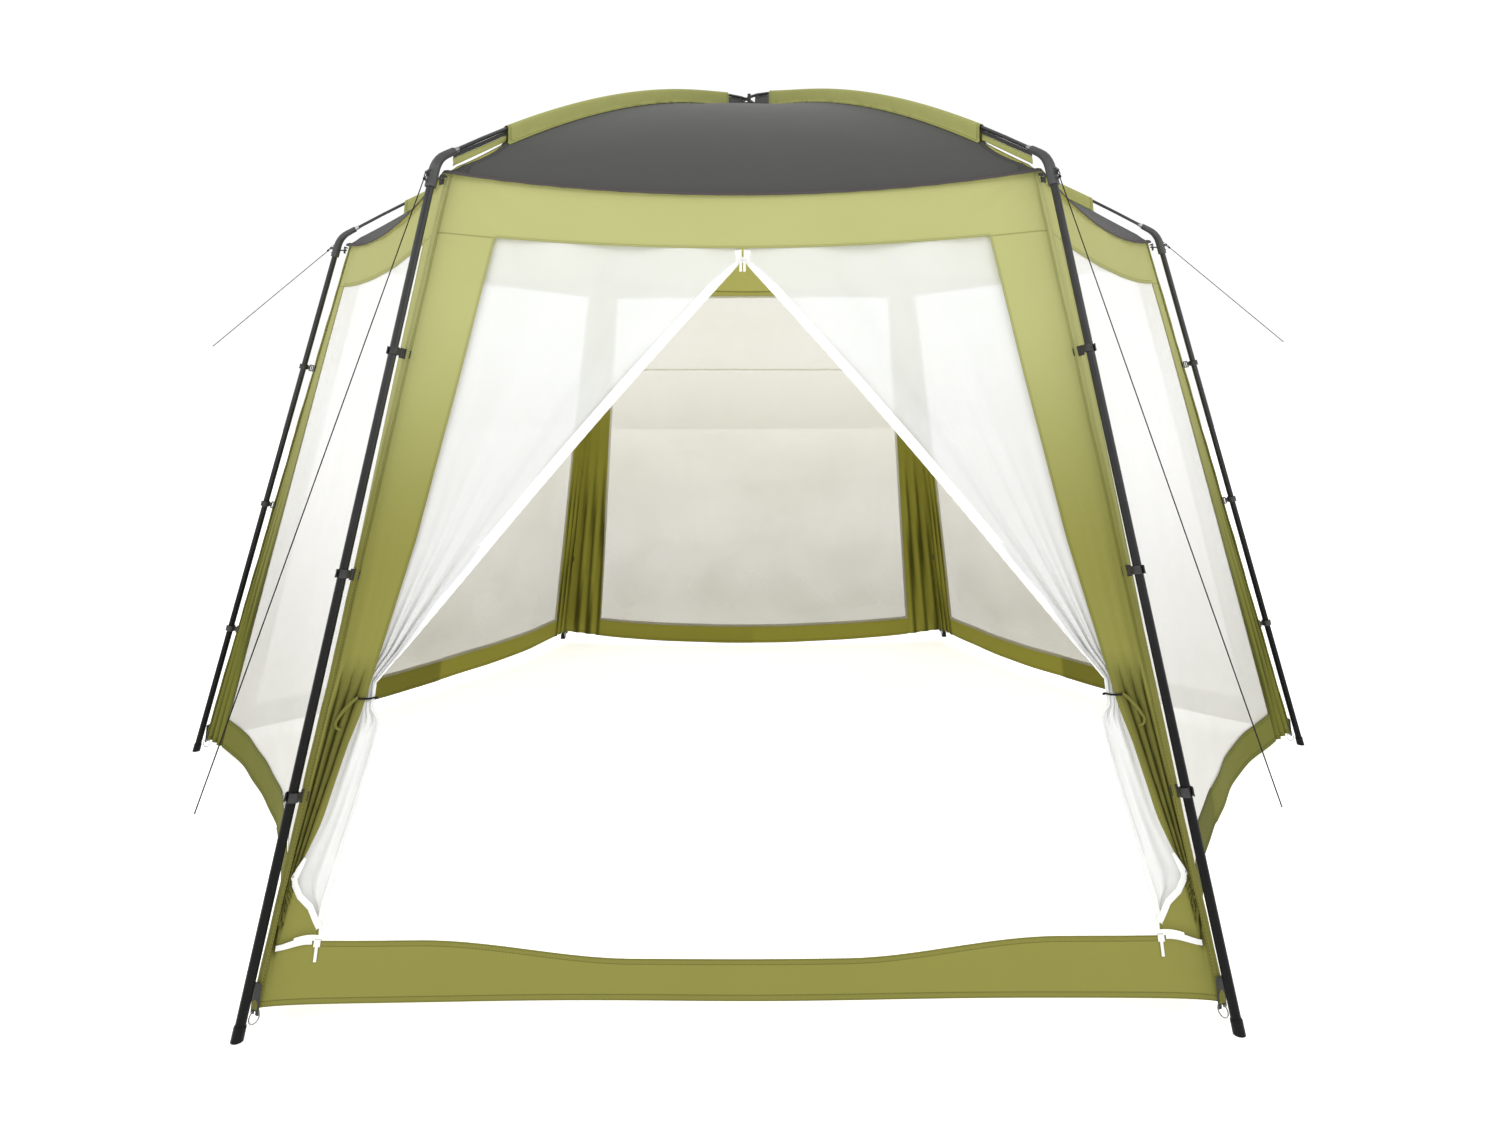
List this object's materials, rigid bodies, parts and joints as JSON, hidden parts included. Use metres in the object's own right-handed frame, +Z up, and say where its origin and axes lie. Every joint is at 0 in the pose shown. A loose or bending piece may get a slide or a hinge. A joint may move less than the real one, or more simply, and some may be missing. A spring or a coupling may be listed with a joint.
{
  "type": "screen shelter",
  "caption": "Six-sided pole-frame camping shelter with a domed cloth roof, netting windows and an open front doorway with netting flaps tied back.",
  "frame": {"origin": "on the ground, at the centre of the six feet", "axes": "+Z up, doorway faces -Y, +X through the right corner leg"},
  "size_m": [3.7756, 3.1406, 2.2089],
  "materials": {
    "pole": "black powder coat, satin",
    "elbow": "moulded dark grey, fine texture",
    "rod": "black coated glass-fibre rod, satin",
    "roof_cloth": "dark grey coated woven polyester",
    "wall_cloth": "light olive green coated woven polyester",
    "netting": "fine white see-through insect netting",
    "ring_steel": "bright zinc-plated wire",
    "cord": "thin black braided cord",
    "zip_plastic": "white zip sliders and pulls",
    "webbing": "black woven webbing with black plastic collars"
  },
  "bodies": {
    "shelter": {"apex_strap": "webbing", "clip_tape_back_left": "webbing", "clip_tape_back_right": "webbing", "clip_tape_front_left": "webbing", "clip_tape_front_right": "webbing", "clip_tape_left": "webbing", "clip_tape_right": "webbing", "door_flap_left": "netting", "door_flap_right": "netting", "door_tie_left": "webbing", "door_tie_right": "webbing", "elbow_back_left": "elbow", "elbow_back_right": "elbow", "elbow_front_left": "elbow", "elbow_front_right": "elbow", "elbow_left": "elbow", "elbow_right": "elbow", "leg_lower_back_left": "pole", "leg_lower_back_right": "pole", "leg_lower_front_left": "pole", "leg_lower_front_right": "pole", "leg_lower_left": "pole", "leg_lower_right": "pole", "leg_upper_back_left": "pole", "leg_upper_back_right": "pole", "leg_upper_front_left": "pole", "leg_upper_front_right": "pole", "leg_upper_left": "pole", "leg_upper_right": "pole", "roof_canopy": "roof_cloth", "roof_rod_front_left_to_back_right": "rod", "roof_rod_front_right_to_back_left": "rod", "roof_rod_side": "rod", "wall_back": "wall_cloth", "wall_back_left": "wall_cloth", "wall_back_right": "wall_cloth", "wall_front": "wall_cloth", "wall_front_left": "wall_cloth", "wall_front_right": "wall_cloth", "window_net_back": "netting", "window_net_back_left": "netting", "window_net_back_right": "netting", "window_net_front_left": "netting", "window_net_front_right": "netting"},
    "peg_ring_right": {"peg_ring_right": "ring_steel"},
    "peg_ring_back_right": {"peg_ring_back_right": "ring_steel"},
    "peg_ring_back_left": {"peg_ring_back_left": "ring_steel"},
    "peg_ring_left": {"peg_ring_left": "ring_steel"},
    "peg_ring_front_left": {"peg_ring_front_left": "ring_steel"},
    "peg_ring_front_right": {"peg_ring_front_right": "ring_steel"},
    "guy_line_right": {"guy_line_right": "cord"},
    "guy_line_left": {"guy_line_left": "cord"},
    "guy_line_front_right": {"guy_line_front_right": "cord"},
    "guy_line_front_left": {"guy_line_front_left": "cord"},
    "zip_slider_top": {"zip_slider_top": "zip_plastic"},
    "zip_pull_top_left": {"zip_pull_top_left": "zip_plastic"},
    "zip_pull_top_right": {"zip_pull_top_right": "zip_plastic"},
    "zip_slider_sill_left": {"zip_slider_sill_left": "zip_plastic"},
    "zip_slider_sill_right": {"zip_slider_sill_right": "zip_plastic"}
  },
  "joints": [
    {"name": "peg_ring_right_swing", "type": "hinge", "parent": "shelter", "child": "peg_ring_right", "pos_m": [1.76861, 0, 0.034], "axis": [1, 0, 0], "range_deg": [-50, 50]},
    {"name": "peg_ring_back_right_swing", "type": "hinge", "parent": "shelter", "child": "peg_ring_back_right", "pos_m": [0.8843, 1.53166, 0.034], "axis": [0.5, 0.866, 0], "range_deg": [-50, 50]},
    {"name": "peg_ring_back_left_swing", "type": "hinge", "parent": "shelter", "child": "peg_ring_back_left", "pos_m": [-0.8843, 1.53166, 0.034], "axis": [-0.5, 0.866, 0], "range_deg": [-50, 50]},
    {"name": "peg_ring_left_swing", "type": "hinge", "parent": "shelter", "child": "peg_ring_left", "pos_m": [-1.76861, 0, 0.034], "axis": [-1, 0, 0], "range_deg": [-50, 50]},
    {"name": "peg_ring_front_left_swing", "type": "hinge", "parent": "shelter", "child": "peg_ring_front_left", "pos_m": [-0.8843, -1.53166, 0.034], "axis": [-0.5, -0.866, 0], "range_deg": [-50, 50]},
    {"name": "peg_ring_front_right_swing", "type": "hinge", "parent": "shelter", "child": "peg_ring_front_right", "pos_m": [0.8843, -1.53166, 0.034], "axis": [0.5, -0.866, 0], "range_deg": [-50, 50]},
    {"name": "guy_line_right_swing", "type": "hinge", "parent": "shelter", "child": "guy_line_right", "pos_m": [1.5005, 0, 1.645], "axis": [0, -1, 0], "range_deg": [-30, 25]},
    {"name": "guy_line_left_swing", "type": "hinge", "parent": "shelter", "child": "guy_line_left", "pos_m": [-1.5005, 0, 1.645], "axis": [0, 1, 0], "range_deg": [-30, 25]},
    {"name": "guy_line_front_right_swing", "type": "hinge", "parent": "shelter", "child": "guy_line_front_right", "pos_m": [0.75025, -1.29947, 1.645], "axis": [-0.6905, -0.7234, 0], "range_deg": [-5, 34]},
    {"name": "guy_line_front_left_swing", "type": "hinge", "parent": "shelter", "child": "guy_line_front_left", "pos_m": [-0.75025, -1.29947, 1.645], "axis": [-0.6905, 0.7234, 0], "range_deg": [-5, 34]},
    {"name": "zip_slider_top_travel", "type": "slide", "parent": "shelter", "child": "zip_slider_top", "axis": [0, 0.1782, 0.984], "range_m": [0, 0.018]},
    {"name": "zip_pull_top_left_flip", "type": "hinge", "parent": "zip_slider_top", "child": "zip_pull_top_left", "pos_m": [-0.0045, -1.2812, 1.43728], "axis": [-1, 0, 0], "range_deg": [-6, 80]},
    {"name": "zip_pull_top_right_flip", "type": "hinge", "parent": "zip_slider_top", "child": "zip_pull_top_right", "pos_m": [0.0045, -1.2812, 1.43728], "axis": [-1, 0, 0], "range_deg": [-6, 80]},
    {"name": "zip_slider_sill_left_travel", "type": "slide", "parent": "shelter", "child": "zip_slider_sill_left", "axis": [-1, 0, 0], "range_m": [0, 0.03]},
    {"name": "zip_slider_sill_right_travel", "type": "slide", "parent": "shelter", "child": "zip_slider_sill_right", "axis": [1, 0, 0], "range_m": [0, 0.03]}
  ]
}
